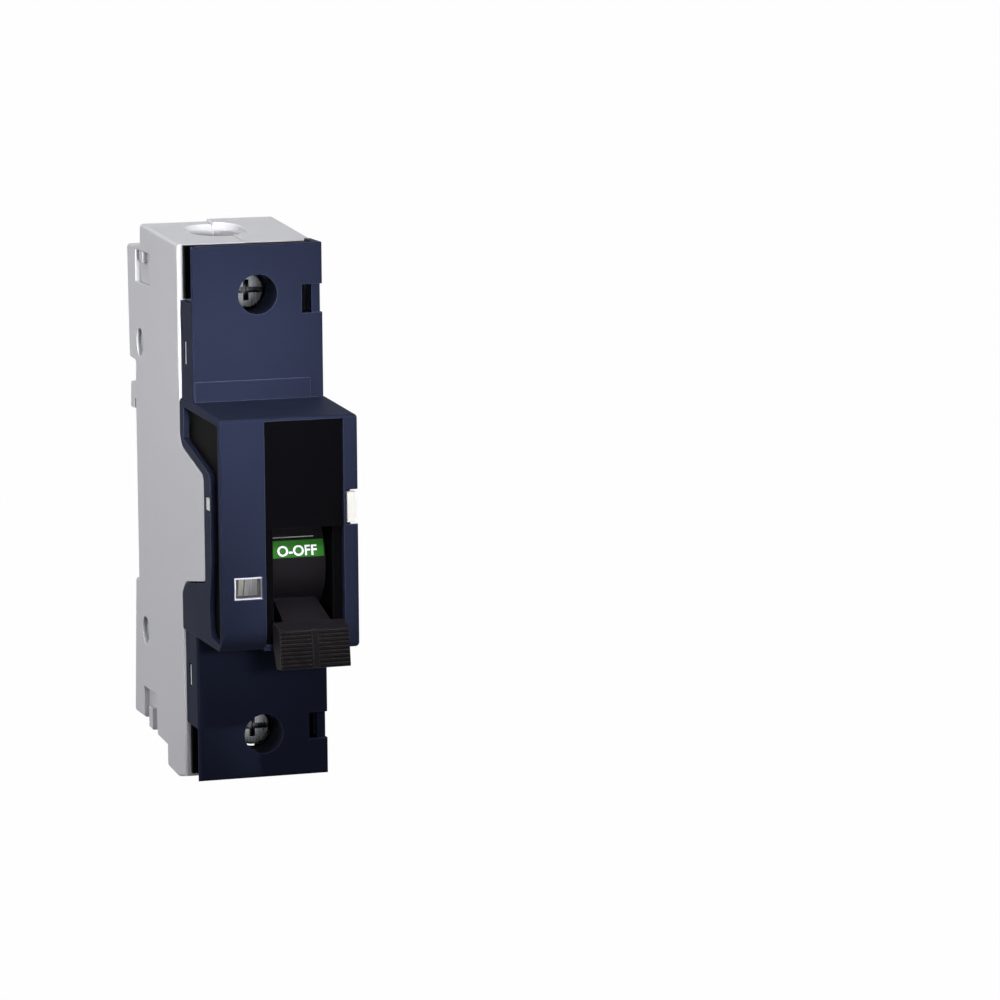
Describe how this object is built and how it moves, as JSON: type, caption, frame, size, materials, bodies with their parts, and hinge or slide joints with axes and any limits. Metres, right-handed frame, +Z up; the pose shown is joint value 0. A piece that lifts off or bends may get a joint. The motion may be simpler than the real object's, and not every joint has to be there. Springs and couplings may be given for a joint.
{
  "type": "miniature circuit breaker",
  "caption": "Single pole rail mounted circuit breaker: grey case, dark cover with a raised nose, black toggle, indicator window, clamp terminals and a sprung rail latch.",
  "frame": {"origin": "middle of the seat where the front lips of the 35 mm rail rest", "axes": "+Z up, -Y out of the front, X along the rail"},
  "size_m": [0.027, 0.076, 0.1063],
  "materials": {
    "case_grey": "moulded, light grey",
    "cover_blue": "moulded, dark slate blue",
    "frame_white": "moulded, off white",
    "liner_black": "moulded, black",
    "toggle_black": "moulded, black",
    "clip_white": "moulded, white",
    "pane_clear": "clear moulded pane",
    "flag_white": "moulded, white",
    "pin_steel": "drawn steel pins",
    "link_steel": "stamped steel",
    "spring_steel": "spring wire",
    "zinc_steel": "zinc plated steel",
    "soft_iron": "plated soft iron",
    "copper": "copper",
    "contact_silver": "silver alloy contact",
    "bimetal": "rolled bimetal",
    "bobbin_nylon": "moulded, natural",
    "carrier_brown": "thermoset moulding",
    "fibre_board": "vulcanised fibre",
    "latch_black": "moulded, black"
  },
  "bodies": {
    "case": {"case_left": "case_grey", "case_right": "case_grey", "front_cover": "cover_blue", "snap_frame": "frame_white", "nose_liner": "liner_black", "accessory_clip_front": "clip_white", "accessory_clip_side": "clip_white", "indicator_pane": "pane_clear", "toggle_axle": "pin_steel", "carrier_axle": "pin_steel", "trip_axle": "pin_steel", "case_rivets": "pin_steel", "contact_spring": "spring_steel", "plunger_spring": "spring_steel", "trip_spring": "spring_steel", "rail_latch_spring": "spring_steel", "calibration_screw": "zinc_steel", "coil_yoke": "soft_iron", "coil_core": "soft_iron", "arc_plates": "soft_iron", "arc_runner": "soft_iron", "fixed_contact_bar": "copper", "coil_winding": "copper", "upper_busbar": "copper", "lower_busbar": "copper", "flexible_braid": "copper", "fixed_contact_tip": "contact_silver", "bimetal_strip": "bimetal", "coil_bobbin": "bobbin_nylon", "arc_cheek_left": "fibre_board", "arc_cheek_right": "fibre_board"},
    "toggle": {"toggle": "toggle_black", "toggle_spring": "spring_steel", "crank_pin": "pin_steel"},
    "link": {"toggle_link": "link_steel"},
    "carrier": {"contact_carrier": "carrier_brown", "lever_pin": "pin_steel", "moving_contact_arm": "copper", "moving_contact_tip": "contact_silver"},
    "flag": {"indicator_flag": "flag_white"},
    "plunger": {"coil_plunger": "soft_iron"},
    "release": {"trip_lever": "carrier_brown"},
    "upper_screw": {"top_screw": "zinc_steel"},
    "upper_cage": {"top_cage": "zinc_steel"},
    "lower_screw": {"bottom_screw": "zinc_steel"},
    "lower_cage": {"bottom_cage": "zinc_steel"},
    "latch": {"rail_latch": "latch_black"}
  },
  "joints": [
    {"name": "toggle_turn", "type": "hinge", "parent": "case", "child": "toggle", "pos_m": [0.0029, -0.0485, -0.0073], "axis": [-1, 0, 0], "range_deg": [0, 52]},
    {"name": "link_turn", "type": "hinge", "parent": "toggle", "child": "link", "pos_m": [0.0029, -0.05025, -0.0037], "axis": [-1, 0, 0], "range_deg": [-52, 0]},
    {"name": "carrier_turn", "type": "hinge", "parent": "case", "child": "carrier", "pos_m": [0.0029, -0.0225, -0.0105], "axis": [-1, 0, 0], "range_deg": [0, 25], "deforming": ["flexible_braid"]},
    {"name": "flag_turn", "type": "hinge", "parent": "case", "child": "flag", "pos_m": [-0.008, -0.0485, -0.0073], "axis": [-1, 0, 0], "range_deg": [0, 31.2]},
    {"name": "plunger_slide", "type": "slide", "parent": "case", "child": "plunger", "axis": [0, 0, -1], "range_m": [0, 0.0032], "stiffness_N_per_m": 60, "springref_m": -0.002, "deforming": ["plunger_spring"]},
    {"name": "release_turn", "type": "hinge", "parent": "case", "child": "release", "pos_m": [-0.003, -0.0275, 0.009], "axis": [-1, 0, 0], "range_deg": [0, 14]},
    {"name": "upper_screw_turn", "type": "hinge", "parent": "case", "child": "upper_screw", "pos_m": [0, -0.03, 0.0425], "axis": [0, 1, 0], "range_deg": [0, 1980.1]},
    {"name": "upper_cage_slide", "type": "slide", "parent": "case", "child": "upper_cage", "axis": [0, -1, 0], "range_m": [0, 0.0055]},
    {"name": "lower_screw_turn", "type": "hinge", "parent": "case", "child": "lower_screw", "pos_m": [0, -0.03, -0.0425], "axis": [0, 1, 0], "range_deg": [0, 1980.1]},
    {"name": "lower_cage_slide", "type": "slide", "parent": "case", "child": "lower_cage", "axis": [0, -1, 0], "range_m": [0, 0.0055]},
    {"name": "latch_slide", "type": "slide", "parent": "case", "child": "latch", "axis": [0, 0, -1], "range_m": [0, 0.0035], "stiffness_N_per_m": 800, "springref_m": -0.002, "deforming": ["rail_latch_spring"]}
  ],
  "couplings": [
    {"joint": "link_turn", "follows": "toggle_turn", "ratio": -1},
    {"joint": "carrier_turn", "follows": "toggle_turn", "ratio": 0.48077},
    {"joint": "flag_turn", "follows": "toggle_turn", "ratio": 0.6},
    {"joint": "release_turn", "follows": "plunger_slide", "rad_per_m": 76.358},
    {"joint": "upper_screw_turn", "follows": "upper_cage_slide", "rad_per_m": 6283.2},
    {"joint": "lower_screw_turn", "follows": "lower_cage_slide", "rad_per_m": 6283.2}
  ]
}
